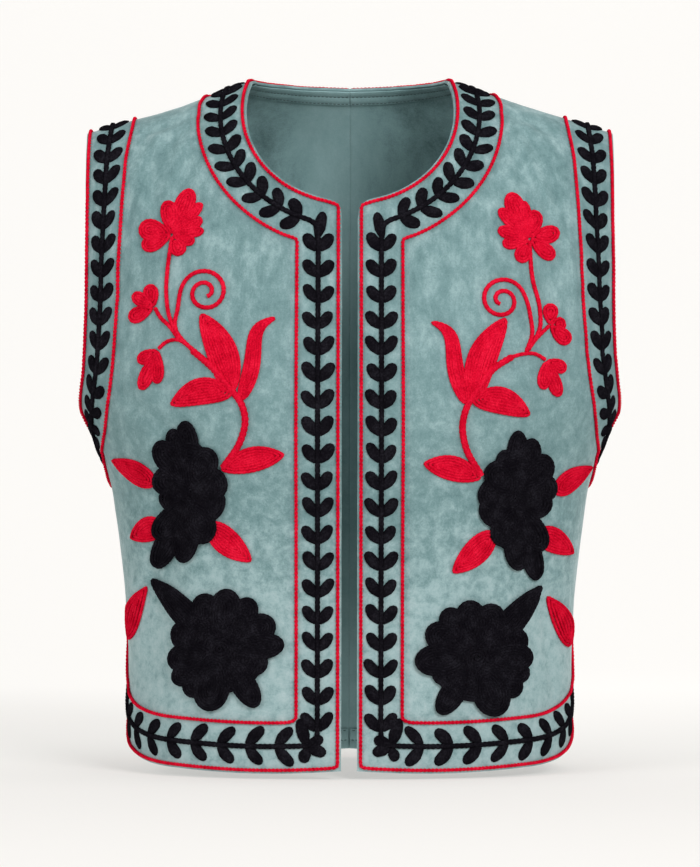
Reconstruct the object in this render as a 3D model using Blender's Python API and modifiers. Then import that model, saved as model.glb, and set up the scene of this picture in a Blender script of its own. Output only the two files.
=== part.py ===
"""Sleeveless embroidered waistcoat, hollow as worn, open down the centre front.

Metres, +Z up, front towards -Y. The origin lies midway between the middles of the two
shoulder seams, where the wearer's shoulders carry the garment.
Lengths in the tables are millimetres; heights are counted from the hem.
"""
import math

import bmesh
import bpy
import numpy as np

MM = 0.001

# ---------------------------------------------------------------- driving dimensions (mm)
CLOTH = 2.0            # wall of the pile cloth
SEAM_GAP = 0.3         # pieces stay this far apart at a seam
CLEAR = 0.9            # cords float this far over the facets of the cloth
PAD_CLEAR = 1.5        # and the broader wool shapes this far
CORD_RADIUS = 1.4
CORD_STEP = 14.0       # length of a cord's straight facets
CORD_EDGE = 2.5        # outer cord, from the cloth's edge
NECK_BAND = 34.8       # inner cord, from the cloth's edge: at the neck,
EDGE_BAND = 31.3       # down the front edge,
HEM_BAND = 35.5        # along the hem,
SCYE_BAND = 33.2       # and round the armhole
STITCHED = 1.2         # height of the wool embroidery
TURNING = 14.0         # width of the turned strips inside the back
TURNING_WALL = 0.8
TURNING_CLEAR = 2.0    # the back's inner facets stand this far in where it rolls over

NECK_X = 68.0          # shoulder seam starts here
NECK_HEIGHT = 488.2
SHOULDER_X = 188.6     # shoulder seam ends here
SHOULDER_FALL = 0.321  # drop per unit across
CROWN = 20.0           # rounds the shoulder slope where it crosses the centre
ROLL_FRONT = 110.0     # height over which the front rolls back to the shoulder seam
ROLL_BACK = 90.0
SQUARE = 2.3           # how square the body's sections are, 2 being an ellipse

FRONT_EDGE = 5.5       # front edge, from the centre
NECK_DROP_CENTRE = 465.0
NECK_HALF_WIDTH = 73.8
NECK_DROP = 68.0
NECK_ROUND = 2.05
BACK_NECK_HEIGHT = 487.0

UNDERARM_HEIGHT = 231.0
UNDERARM_Y = 28.0
UNDERARM_ROUND = 53.0  # the armhole's front edge turns under the arm over this height
SCYE_FLARE = 3.3       # and stands out here
FLARE_HEIGHT = 237.0
FLARE_SPREAD = 44.0
SCYE_DRAW = 1.2
# the armhole's inner rows swing in by this much at these heights
SWING_HEIGHTS = (212, 238, 264, 300, 395, 425, 448)
SWINGS = (0.0, 4.5, 2.5, 0.0, -1.8, -1.2, 3.0)
HEM_SEAM_Y = 30.0      # side seam at the hem
VENT_HEIGHT = 64.0
VENT_SWEEP = 110.0     # the hem curves up to the vent over this length
VENT_REACH = 150.0
HEM_DIP = 2.4          # the hem dips between the front edge and the side
DIP_WIDE = 124.0
LEAN = -0.7            # centre lines lean this far across at the hem
LEAN_TOP = 395.0

ORIGIN_HEIGHT = NECK_HEIGHT - SHOULDER_FALL * (SHOULDER_X - NECK_X) / 2

# height, half width at the sides, reach in front, reach behind
SECTIONS = [
    (0, 158.5, 104.0, 96.0),
    (40, 159.0, 105.0, 94.0),
    (85, 158.8, 106.5, 91.0),
    (115, 160.5, 108.0, 89.0),
    (145, 163.8, 110.5, 88.0),
    (172, 167.5, 113.5, 90.0),
    (200, 172.0, 116.0, 92.0),
    (228, 182.0, 117.0, 95.5),
    (258, 195.0, 116.0, 98.0),
    (300, 200.5, 109.5, 100.5),
    (340, 202.0, 100.0, 101.5),
    (380, 208.0, 89.5, 99.0),
    (420, 215.0, 80.0, 95.0),
    (455, 218.0, 73.5, 91.0),
    (490, 218.0, 66.0, 87.0),
]

# side (0 both), start across, start height, end across, end height, reach, rise
FOLDS = [
    (0, 92, 252, 92, 246, 58, 7.0),       # fullness of the bust
    (-1, 118, 226, 141, 70, 15, -3.0),    # dart, left
    (-1, 134, 222, 156, 74, 14, 2.0),     # ridge beside it
    (1, 121, 200, 146, 46, 15, -3.0),     # dart, right
    (1, 138, 200, 160, 60, 14, 2.0),
    (1, 112, 462, 158, 320, 14, -1.6),    # long crease from the right shoulder
    (1, 176, 400, 180, 285, 13, -1.6),    # fold beside the right armhole
    (-1, 158, 330, 172, 240, 14, -1.4),   # drag line under the left armhole
]

# ---------------------------------------------------------------- form of the cloth


def eased(column, height):
    """One column of SECTIONS at any height, eased through the rows."""
    rows = np.array(SECTIONS)
    level, value = rows[:, 0], rows[:, column]
    rise = np.gradient(value, level)
    height = np.clip(height, level[0], level[-1])
    k = np.clip(np.searchsorted(level, height) - 1, 0, len(level) - 2)
    span = level[k + 1] - level[k]
    t = (height - level[k]) / span
    ends = (2 * t**3 - 3 * t**2 + 1) * value[k] + (3 * t**2 - 2 * t**3) * value[k + 1]
    return ends + span * ((t**3 - 2 * t**2 + t) * rise[k] + (t**3 - t**2) * rise[k + 1])


def shoulder_line(across):
    """Height of the shoulder seam, carried on under the neck with a rounded crown."""
    fall = np.hypot(across, CROWN) - math.hypot(NECK_X, CROWN)
    return NECK_HEIGHT - SHOULDER_FALL * fall


def roll_squared(across, height, behind):
    """1 on the body, falling to 0 where front and back meet on the shoulder line."""
    reach = np.where(behind, ROLL_BACK, ROLL_FRONT)
    return 1 - np.clip(1 - (shoulder_line(across) - height) / reach, 0, None) ** 2


def depth(across, height, behind):
    """Reach of the cloth in front of or behind the side line."""
    width = eased(1, height)
    reach = np.where(behind, eased(3, height), eased(2, height))
    inside = 1 - np.clip(across / width, 0, 1) ** SQUARE
    roll = np.sqrt(np.clip(roll_squared(across, height, behind), 0, None))
    return reach * inside ** (1 / SQUARE) * roll


def form(points):
    """Zero on the body's outer surface, positive outside it."""
    across, y, height = np.abs(points[..., 0]), points[..., 1], points[..., 2]
    behind = y > 0
    reach = np.where(behind, eased(3, height), eased(2, height))
    inside = 1 - (across / eased(1, height)) ** SQUARE
    inside = np.sign(inside) * np.abs(inside) ** (2 / SQUARE)
    return (y / reach) ** 2 - inside * roll_squared(across, height, behind)


def uphill(points):
    """Gradient of the form."""
    step = 0.05
    slope = np.empty_like(points)
    for axis in range(3):
        offset = np.zeros(3)
        offset[axis] = step
        slope[..., axis] = (form(points + offset) - form(points - offset)) / (2 * step)
    return slope


def settle(points):
    """Drop points on to the body's surface, and give the surface's normals there."""
    points = np.array(points, float)
    for _ in range(8):
        slope = uphill(points)
        steep = np.maximum((slope**2).sum(-1, keepdims=True), 1e-12)
        move = form(points)[..., None] * slope / steep
        far = np.linalg.norm(move, axis=-1, keepdims=True)
        points = points - move * np.minimum(1, 12 / np.maximum(far, 1e-9))
    slope = uphill(points)
    return points, slope / np.linalg.norm(slope, axis=-1, keepdims=True)


def fold_rise(points, side):
    """How far the folds lift or sink the cloth of one side's front."""
    rise = np.zeros(points.shape[:-1])
    front = np.clip(-points[..., 1] / 25, 0, 1)
    for which, x0, h0, x1, h1, reach, height in FOLDS:
        if which not in (0, side):
            continue
        start, run = np.array([x0, h0]), np.array([x1 - x0, h1 - h0])
        to = points[..., [0, 2]] - start
        along = np.clip((to @ run) / (run @ run), 0, 1)
        off = np.linalg.norm(to - along[..., None] * run, axis=-1)
        rise += height * np.exp(-((off / reach) ** 2)) * front
    return rise


def on_cloth(points, side, lift):
    """World places of points given on the +X half, lifted off the cloth's face."""
    points, normals = settle(points)
    points = points + normals * (fold_rise(points, side) + lift)[..., None]
    across = np.clip(np.abs(points[..., 0]) / 160, 0, 1)
    lean = LEAN * np.clip(1 - points[..., 2] / LEAN_TOP, 0, 1) * (1 - across**2)
    x = side * points[..., 0] + lean
    return np.stack([x, points[..., 1], points[..., 2] - ORIGIN_HEIGHT], -1) * MM


# ---------------------------------------------------------------- edges of the pieces


def neck_front(count):
    """Front neck edge, from the front edge up to the shoulder line."""
    turn = np.linspace(math.asin((FRONT_EDGE / NECK_HALF_WIDTH) ** (NECK_ROUND / 2)), 2.2, 400)
    across = NECK_HALF_WIDTH * np.sin(turn) ** (2 / NECK_ROUND)
    drop = np.sign(np.cos(turn)) * np.abs(np.cos(turn)) ** (2 / NECK_ROUND)
    height = NECK_DROP_CENTRE - NECK_DROP * drop
    keep = height < shoulder_line(across) - 0.02
    across, height = across[keep], height[keep]
    edge = np.stack([across, -depth(across, height, False), height], -1)
    edge = np.vstack([edge, [NECK_X, 0, NECK_HEIGHT]])
    return spaced(edge, count)


def neck_back(count):
    """Back neck edge, from the centre seam to the shoulder line."""
    across = np.linspace(0, NECK_X, 200)
    height = BACK_NECK_HEIGHT + (NECK_HEIGHT - BACK_NECK_HEIGHT) * (across / NECK_X) ** 2
    return spaced(np.stack([across, depth(across, height, True), height], -1), count)


def armhole(count, behind):
    """One half of the armhole edge, from underarm to the shoulder."""
    turn = np.linspace(math.pi, 0, 400)
    tip = shoulder_line(SHOULDER_X)
    height = (tip + UNDERARM_HEIGHT) / 2 + (tip - UNDERARM_HEIGHT) / 2 * np.cos(turn)
    flare = SCYE_FLARE * np.exp(-(((height - FLARE_HEIGHT) / FLARE_SPREAD) ** 2))
    flare -= SCYE_DRAW * np.sin(math.pi * (tip - height) / (tip - UNDERARM_HEIGHT))
    across = np.minimum(eased(1, height) * 0.995, SHOULDER_X + flare)
    y = depth(across, height, behind) * (1 if behind else -1)
    if behind:
        y = np.maximum(y, UNDERARM_Y)
    under = np.clip((height - UNDERARM_HEIGHT) / UNDERARM_ROUND, 0, 1)
    y = UNDERARM_Y + (y - UNDERARM_Y) * np.sin(math.pi / 2 * np.sqrt(under))
    edge, _ = settle(np.stack([across, y, height], -1))
    edge[-1] = SHOULDER_X, 0, tip
    return spaced(edge, count)


def side_seam(count):
    """Side seam, from the hem up to the underarm."""
    height = np.linspace(0, UNDERARM_HEIGHT, count)
    y = HEM_SEAM_Y + (UNDERARM_Y - HEM_SEAM_Y) * height / UNDERARM_HEIGHT
    part = 1 - (y / eased(3, height)) ** SQUARE
    return np.stack([eased(1, height) * part ** (1 / SQUARE), y, height], -1)


def centre_edge(count, across, top, behind):
    height = np.linspace(0, top, count)
    x = np.full(count, across)
    sign = 1 if behind else -1
    return np.stack([x, sign * depth(x, height, behind), height], -1)


def spaced(line, count):
    """The same line with its points evenly apart."""
    run = np.r_[0, np.cumsum(np.linalg.norm(np.diff(line, axis=0), axis=1))]
    at = np.linspace(0, run[-1], count)
    return np.stack([np.interp(at, run, line[:, axis]) for axis in range(3)], -1)


def piece_grid(behind, columns, centre_rows, neck_rows, seam_rows, scye_rows):
    """Rows of points over one front or back, from hem to shoulder, centre to side."""
    if behind:
        neck = neck_back(neck_rows + 1)
        neck[:, 0] = np.maximum(neck[:, 0], SEAM_GAP / 2)
        centre = centre_edge(centre_rows + 1, SEAM_GAP / 2, BACK_NECK_HEIGHT, True)
    else:
        neck = neck_front(neck_rows + 1)
        centre = centre_edge(centre_rows + 1, FRONT_EDGE, neck[0, 2], False)
    inner = np.vstack([centre, neck[1:]])
    scye = armhole(scye_rows + 1, behind)
    outer = np.vstack([side_seam(seam_rows + 1), scye[1:]])
    grid = np.array([row_points(a, b, behind, columns) for a, b in zip(inner, outer)])
    grid[-1, :, 1] = SEAM_GAP / 2 * (1 if behind else -1)
    return grid


def row_points(start, end, behind, columns):
    """A row on the body in the upright plane through both ends."""
    fall = (start[2] - end[2]) / (end[0] - start[0])
    turn_start = math.asin(min(1, start[0] / eased(1, start[2])))
    turn_end = math.asin(min(1, end[0] / eased(1, end[2])))
    if end[1] > 0 and not behind:
        turn_end = math.pi - turn_end
    if end[1] < 0 and behind:
        turn_end = math.pi - turn_end
    turn = np.linspace(turn_start, turn_end, 160)
    row = turned(turn, start[2] + fall * start[0], fall, behind)
    run = np.r_[0, np.cumsum(np.linalg.norm(np.diff(row, axis=0), axis=1))]
    at = np.linspace(0, run[-1] - SEAM_GAP / 2, columns + 1)
    left = run[-1] - at
    turn = np.interp(at, run, turn)
    height = np.interp(at, run, row[:, 2])
    sweep = np.clip(1 - left / VENT_SWEEP, 0, 1)
    raised = VENT_HEIGHT * (1 - np.sqrt(1 - sweep**2))
    across = eased(1, height) * np.sin(turn)
    raised = raised - HEM_DIP * np.sin(math.pi * across / DIP_WIDE)
    height = height + raised * np.clip(1 - height / VENT_REACH, 0, 1)
    return turned(turn, height, None, behind)


def turned(turn, level, fall, behind):
    """Points round the body at the given turns, on a level or on a falling plane."""
    height = level * np.ones_like(turn)
    for _ in range(8 if fall is not None else 1):
        across = eased(1, height) * np.sin(turn)
        if fall is not None:
            height = level - fall * across
    past = turn > math.pi / 2
    at_back = ~past if behind else past
    y = depth(across, height, at_back)
    return np.stack([across, np.where(at_back, y, -y), height], -1)


def walk_in(edge, distance):
    """A line on the cloth a distance in from an edge that runs with the cloth on its left."""
    line, normal = settle(edge)
    distance = np.broadcast_to(distance, len(line))[:, None]
    steps = max(1, round(distance.max() / 4))
    inward = np.cross(normal, np.gradient(line, axis=0))
    for _ in range(steps):
        inward -= (inward * normal).sum(-1, keepdims=True) * normal
        inward /= np.linalg.norm(inward, axis=-1, keepdims=True)
        line, normal = settle(line + inward * distance / steps)
    return line


def hem_line(behind, count):
    """Hem of a half front or back, from the centre to the vent."""
    across = SEAM_GAP if behind else FRONT_EDGE
    centre = centre_edge(2, across, UNDERARM_HEIGHT, behind)[0]
    return row_points(centre, side_seam(2)[0], behind, count - 1)


def vent_arch(distance, behind):
    """Quarter turn of a cord over the top of the side vent, up to the side seam."""
    turn = np.linspace(0.06, 0.5, 5) * math.pi
    height = VENT_HEIGHT + distance * np.sin(turn)
    seam = side_seam(400)
    seam = np.stack([np.interp(height, seam[:, 2], seam[:, axis]) for axis in range(3)], -1)
    aside = distance * np.cos(turn) + 2 * SEAM_GAP
    if not behind:
        return walk_in(seam, aside)
    return walk_in(seam[::-1], aside[::-1])


def over_vent(line, distance, behind):
    """A hem line, led over the top of the vent where it keeps clear of the slit."""
    if distance < VENT_HEIGHT / 3:
        return line
    near = np.abs(line[:, 2] - VENT_HEIGHT) < VENT_HEIGHT / 5
    line = line[~near | (line[:, 0] < SHOULDER_X / 2)]
    arch = vent_arch(distance, behind)
    return np.vstack([arch, line] if behind else [line, arch])


def front_border(neck_in, edge_in, hem_in):
    """Line of a cord: back neck, front neck, front edge, hem and vent of one half."""
    back = neck_back(12)
    back[0, 0] = 2 * SEAM_GAP
    neck = walk_in(np.vstack([back, neck_front(16)[-2::-1]]), neck_in)
    edge = walk_in(centre_edge(34, FRONT_EDGE, neck_front(2)[0, 2], False)[::-1], edge_in)
    hem = walk_in(hem_line(False, 24), hem_in)
    corner_x = edge[len(edge) // 2, 0]
    neck = neck[(neck[:, 0] > corner_x + 4) | (neck[:, 1] > -40)]
    top = neck[-1, 2] - (neck[-1, 0] - corner_x) / 3
    edge = edge[(edge[:, 2] < top - 4) & (edge[:, 2] > hem_in + 4)]
    hem = hem[hem[:, 0] > corner_x + 4]
    corners = [(corner_x, -depth(corner_x, h, False), h) for h in (top, hem_in)]
    line = np.vstack([neck, corners[0], edge, corners[1], hem])
    return over_vent(line, hem_in, False)


def back_border(distance):
    """Line of a cord: vent and hem of one half of the back, ending at the centre seam."""
    hem = walk_in(hem_line(True, 24)[::-1], distance)
    hem[-1, 0] = 2 * SEAM_GAP
    return over_vent(hem, distance, True)


def armhole_border(distance):
    loop = np.vstack([armhole(26, False), armhole(26, True)[-2:0:-1]])
    around = np.vstack([loop[-1:], loop, loop[:1]])
    swing = np.interp(around[:, 2], SWING_HEIGHTS, SWINGS) * (distance / SCYE_BAND)
    return walk_in(around, distance + swing)[1:-1]


# ---------------------------------------------------------------- Blender objects

for old in list(bpy.data.objects):
    bpy.data.objects.remove(old)

parts = bpy.data.collections.new("embroidered_folk_vest")
bpy.context.scene.collection.children.link(parts)


def material(name, colour, roughness):
    made = bpy.data.materials.new(name)
    made.use_nodes = True
    shader = made.node_tree.nodes["Principled BSDF"]
    shader.inputs["Base Color"].default_value = (*colour, 1)
    shader.inputs["Roughness"].default_value = roughness
    shader.inputs["Metallic"].default_value = 0
    return made


VELVET = (0.247, 0.367, 0.371)
BLACK_WOOL = (0.007, 0.006, 0.009)
RED_WOOL = (0.723, 0.005, 0.028)


def add_mesh(name, bm, colour, roughness, wall):
    mesh = bpy.data.meshes.new(name)
    bm.to_mesh(mesh)
    bm.free()
    mesh.shade_smooth()
    made = bpy.data.objects.new(name, mesh)
    made.data.materials.append(material(name, colour, roughness))
    parts.objects.link(made)
    if wall:
        solid = made.modifiers.new("Wall", "SOLIDIFY")
        solid.thickness = wall * MM
        solid.offset = 1
        solid.use_even_offset = True
    return made


def sheet(name, places, flip, colour, roughness, wall):
    """A closed sheet over a grid of places, thickened outwards."""
    rows, columns = places.shape[:2]
    bm = bmesh.new()
    bmesh.ops.create_grid(bm, x_segments=columns - 1, y_segments=rows - 1, size=1)
    for vert in bm.verts:
        column = round((vert.co.x + 1) / 2 * (columns - 1))
        row = round((vert.co.y + 1) / 2 * (rows - 1))
        vert.co = places[row, column]
    if flip:
        bmesh.ops.reverse_faces(bm, faces=bm.faces)
    return add_mesh(name, bm, colour, roughness, wall)


def cord(name, line, side, closed=False):
    """A cord laid along a line on the cloth."""
    if closed:
        line = np.vstack([line, line[:1]])
    length = np.linalg.norm(np.diff(line, axis=0), axis=1).sum()
    line = spaced(line, round(length / CORD_STEP) + 1)
    if closed:
        line = line[:-1]
    places = on_cloth(line, side, CORD_RADIUS + CLEAR)
    curve = bpy.data.curves.new(name, "CURVE")
    curve.dimensions = "3D"
    curve.bevel_depth = CORD_RADIUS * MM
    curve.bevel_resolution = 0
    curve.use_fill_caps = not closed
    spline = curve.splines.new("POLY")
    spline.points.add(len(places) - 1)
    for point, place in zip(spline.points, places):
        point.co = (*place, 1)
    spline.use_cyclic_u = closed
    made = bpy.data.objects.new(name, curve)
    made.data.materials.append(material(name, RED_WOOL, 0.8))
    parts.objects.link(made)


# ---------------------------------------------------------------- fronts and backs

PIECE_ROWS = dict(columns=13, centre_rows=14, neck_rows=6, seam_rows=9, scye_rows=11)
SIDES = {"left": -1, "right": 1}

for behind, word in ((False, "front"), (True, "back")):
    grid = piece_grid(behind, **PIECE_ROWS)
    for side_word, side in SIDES.items():
        places = on_cloth(grid, side, -CLOTH)
        flip = behind != (side < 0)
        sheet(f"{word}_{side_word}", places, flip, VELVET, 0.85, CLOTH)

# ---------------------------------------------------------------- turnings inside the backs


def turning(name, edge, side):
    rows = [walk_in(edge, distance) for distance in (2 * SEAM_GAP, TURNING / 2, TURNING)]
    lift = -(CLOTH + TURNING_CLEAR + TURNING_WALL)
    places = on_cloth(np.array(rows), side, lift)
    sheet(name, places, side < 0, VELVET, 0.9, TURNING_WALL)


inside_neck = neck_back(9)
inside_neck[0, 0] = 2 * SEAM_GAP
inside_hem = hem_line(True, 14)[-2::-1]
inside_hem[-1, 0] = 2 * SEAM_GAP
for side_word, side in SIDES.items():
    turning(f"neck_turning_{side_word}", inside_neck, side)
    turning(f"hem_turning_{side_word}", inside_hem, side)

# ---------------------------------------------------------------- couched cords

# from the edge: at the neck, the front edge, the hem and the armhole
CORD_ROWS = {
    "outer": (CORD_EDGE, CORD_EDGE, CORD_EDGE, CORD_EDGE),
    "inner": (NECK_BAND, EDGE_BAND, HEM_BAND, SCYE_BAND),
}

for side_word, side in SIDES.items():
    for word, (neck_in, edge_in, hem_in, scye_in) in CORD_ROWS.items():
        cord(f"front_cord_{word}_{side_word}", front_border(neck_in, edge_in, hem_in), side)
        cord(f"back_cord_{word}_{side_word}", back_border(hem_in), side)
        cord(f"armhole_cord_{word}_{side_word}", armhole_border(scye_in), side, closed=True)

# ---------------------------------------------------------------- wool embroidery


def tangent_frame(across, height):
    """A place on one half front, with the cloth's level and upward directions there."""
    guess = np.array([across, -float(depth(across, height, False)), height])
    place, normal = settle(guess)
    level = np.cross([0, 0, 1], normal)
    level /= np.linalg.norm(level)
    return place, level, np.cross(normal, level)


def flower(name, side, across, height, half_wide, half_tall, petals, colour):
    """A petalled pad lying on the cloth."""
    place, level, upward = tangent_frame(across, height)
    bm = bmesh.new()
    bmesh.ops.create_circle(bm, cap_ends=True, cap_tris=True, segments=3 * petals, radius=1)
    spokes = [edge for edge in bm.edges if not edge.is_boundary]
    bmesh.ops.subdivide_edges(bm, edges=spokes, cuts=2)
    flat = np.array([vert.co.xy[:] for vert in bm.verts])
    turn = np.arctan2(flat[:, 1], flat[:, 0])
    flat *= (0.95 + 0.05 * np.cos(petals * turn))[:, None]
    points = place + flat[:, :1] * half_wide * level + flat[:, 1:] * half_tall * upward
    for vert, spot in zip(bm.verts, on_cloth(points, side, PAD_CLEAR)):
        vert.co = spot
    if side < 0:
        bmesh.ops.reverse_faces(bm, faces=bm.faces)
    add_mesh(name, bm, colour, 0.95, STITCHED)


def leaf(name, side, base, tip, width, bend):
    """A pointed leaf lying on the cloth, from its base to its tip."""
    places = [tangent_frame(*end)[0] for end in (base, tip)]
    normal = settle((places[0] + places[1]) / 2)[1]
    run = places[1] - places[0]
    aside = np.cross(normal, run)
    aside /= np.linalg.norm(aside)
    rows = []
    for t in np.linspace(0, 1, 5):
        half = 0.5 + (width / 2 - 0.5) * math.sin(math.pi * t)
        spine = places[0] + run * t + aside * bend * math.sin(math.pi * t)
        rows.append([spine + aside * half * edge for edge in (1, 0, -1)])
    spots = on_cloth(np.array(rows), side, PAD_CLEAR)
    sheet(name, spots, side < 0, RED_WOOL, 0.9, STITCHED)


# name, side, centre across, height, half width, half height, petals, colour
FLOWERS = [
    ("black_flower_upper_left", -1, 112, 192, 25, 44, 7, BLACK_WOOL),
    ("black_flower_lower_left", -1, 88, 84, 40, 38, 7, BLACK_WOOL),
    ("black_flower_upper_right", 1, 117, 186, 25, 44, 7, BLACK_WOOL),
    ("black_flower_lower_right", 1, 88, 78, 40, 38, 7, BLACK_WOOL),
    ("red_flower_top_left", -1, 124, 381, 22, 22, 4, RED_WOOL),
    ("red_flower_small_left", -1, 146, 324, 12, 12, 3, RED_WOOL),
    ("red_flower_bud_left", -1, 139, 277, 10, 13, 3, RED_WOOL),
    ("red_flower_top_right", 1, 125, 377, 22, 22, 4, RED_WOOL),
    ("red_flower_small_right", 1, 147, 310, 12, 12, 3, RED_WOOL),
    ("red_flower_bud_right", 1, 141, 271, 10, 13, 3, RED_WOOL),
]

# name, side, base across and height, tip across and height, width, bend
LEAVES = [
    ("tulip_leaf_upright_left", -1, (84, 274), (102, 316), 19, 0),
    ("tulip_leaf_tall_left", -1, (70, 262), (51, 312), 10, 3),
    ("tulip_leaf_level_left", -1, (90, 262), (122, 255), 14, 2),
    ("leaf_inner_upper_left", -1, (82, 212), (46, 220), 13, 0),
    ("leaf_side_upper_left", -1, (143, 205), (163, 214), 12, 0),
    ("leaf_side_lower_left", -1, (143, 171), (155, 161), 11, 0),
    ("leaf_inner_lower_left", -1, (88, 163), (67, 147), 13, 0),
    ("leaf_hem_side_left", -1, (143, 125), (155.5, 89), 13, 0),
    ("tulip_leaf_upright_right", 1, (88, 270), (106, 312), 18, 0),
    ("tulip_leaf_tall_right", 1, (74, 258), (55, 309), 10, 3),
    ("tulip_leaf_level_right", 1, (93, 257), (122, 248), 14, 2),
    ("leaf_inner_upper_right", 1, (84, 205), (51, 213), 13, 0),
    ("leaf_side_upper_right", 1, (149, 198), (165, 206), 12, 0),
    ("leaf_side_lower_right", 1, (147, 162), (157, 150), 11, 0),
    ("leaf_inner_lower_right", 1, (92, 157), (72, 138), 13, 0),
    ("leaf_hem_side_right", 1, (140, 118.5), (154, 84), 13, 0),
]

for row in FLOWERS:
    flower(*row)
for row in LEAVES:
    leaf(*row)
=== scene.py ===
import math

import bmesh
import bpy
import numpy as np
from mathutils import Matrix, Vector, noise


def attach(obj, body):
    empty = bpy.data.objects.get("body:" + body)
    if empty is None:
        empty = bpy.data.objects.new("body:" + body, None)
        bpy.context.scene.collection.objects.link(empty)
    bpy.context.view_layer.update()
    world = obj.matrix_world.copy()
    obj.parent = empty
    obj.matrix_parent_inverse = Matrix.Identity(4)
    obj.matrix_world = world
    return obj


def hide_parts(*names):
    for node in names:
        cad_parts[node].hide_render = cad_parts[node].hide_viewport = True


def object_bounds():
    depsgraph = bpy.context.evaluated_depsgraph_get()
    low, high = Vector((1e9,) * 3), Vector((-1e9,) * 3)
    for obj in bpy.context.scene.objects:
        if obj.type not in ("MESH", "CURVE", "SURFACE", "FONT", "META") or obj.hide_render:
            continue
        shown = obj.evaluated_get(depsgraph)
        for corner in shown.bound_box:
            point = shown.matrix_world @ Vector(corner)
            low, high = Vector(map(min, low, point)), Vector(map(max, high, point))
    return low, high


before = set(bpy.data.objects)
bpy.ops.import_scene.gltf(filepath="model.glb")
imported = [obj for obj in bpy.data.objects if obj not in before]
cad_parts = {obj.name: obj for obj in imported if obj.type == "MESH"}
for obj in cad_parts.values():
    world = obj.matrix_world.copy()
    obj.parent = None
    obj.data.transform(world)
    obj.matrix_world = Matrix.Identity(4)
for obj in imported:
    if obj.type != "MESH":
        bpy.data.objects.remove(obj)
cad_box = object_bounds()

# ---------------------------------------------------------------- fronts and backs
# Four pieces of cotton velvet, 2 mm thick with its pile, sewn at the shoulders, the sides
# and down the middle of the back. They hold the shape of the body, with a dart at each
# side of the front; the pile is crushed in soft streaks and blotches.

MM = 0.001
WALL = 2.0             # cloth with its pile
SEAM_GAP = 0.0         # the sewn edges meet
EDGE_ROUND = 0.85      # the turned edges are this round

NECK_X = 68.0          # shoulder seam starts here
NECK_HEIGHT = 488.2
SHOULDER_X = 188.6     # shoulder seam ends here
SHOULDER_FALL = 0.321
CROWN = 20.0
ROLL_FRONT = 110.0
ROLL_BACK = 90.0
SQUARE = 2.3

FRONT_EDGE = 5.5
NECK_DROP_CENTRE = 465.0
NECK_HALF_WIDTH = 73.8
NECK_DROP = 68.0
NECK_ROUND = 2.05
BACK_NECK_HEIGHT = 487.0

UNDERARM_HEIGHT = 231.0
UNDERARM_Y = 28.0
UNDERARM_ROUND = 53.0
SCYE_FLARE = 3.3
FLARE_HEIGHT = 237.0
FLARE_SPREAD = 44.0
SCYE_DRAW = 1.2
# the armhole's inner rows swing in by this much at these heights
SWING_HEIGHTS = (212, 238, 264, 300, 395, 425, 448)
SWINGS = (0.0, 8.0, 4.5, 0.0, -1.8, -1.2, 3.0)
SCYE_BAND = 33.2
HEM_SEAM_Y = 30.0
VENT_HEIGHT = 64.0
VENT_SWEEP = 110.0
VENT_REACH = 150.0
HEM_DIP = 2.4
DIP_WIDE = 124.0
LEAN = -0.7
LEAN_TOP = 395.0

ORIGIN_HEIGHT = NECK_HEIGHT - SHOULDER_FALL * (SHOULDER_X - NECK_X) / 2

# height, half width at the sides, reach in front, reach behind
SECTIONS = [
    (0, 158.5, 104.0, 96.0),
    (40, 159.0, 105.0, 94.0),
    (85, 158.8, 106.5, 91.0),
    (115, 160.5, 108.0, 89.0),
    (145, 163.8, 110.5, 88.0),
    (172, 167.5, 113.5, 90.0),
    (200, 172.0, 116.0, 92.0),
    (228, 182.0, 117.0, 95.5),
    (258, 195.0, 116.0, 98.0),
    (300, 200.5, 109.5, 100.5),
    (340, 202.0, 100.0, 101.5),
    (380, 208.0, 89.5, 99.0),
    (420, 215.0, 80.0, 95.0),
    (455, 218.0, 73.5, 91.0),
    (490, 218.0, 66.0, 87.0),
]

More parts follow.
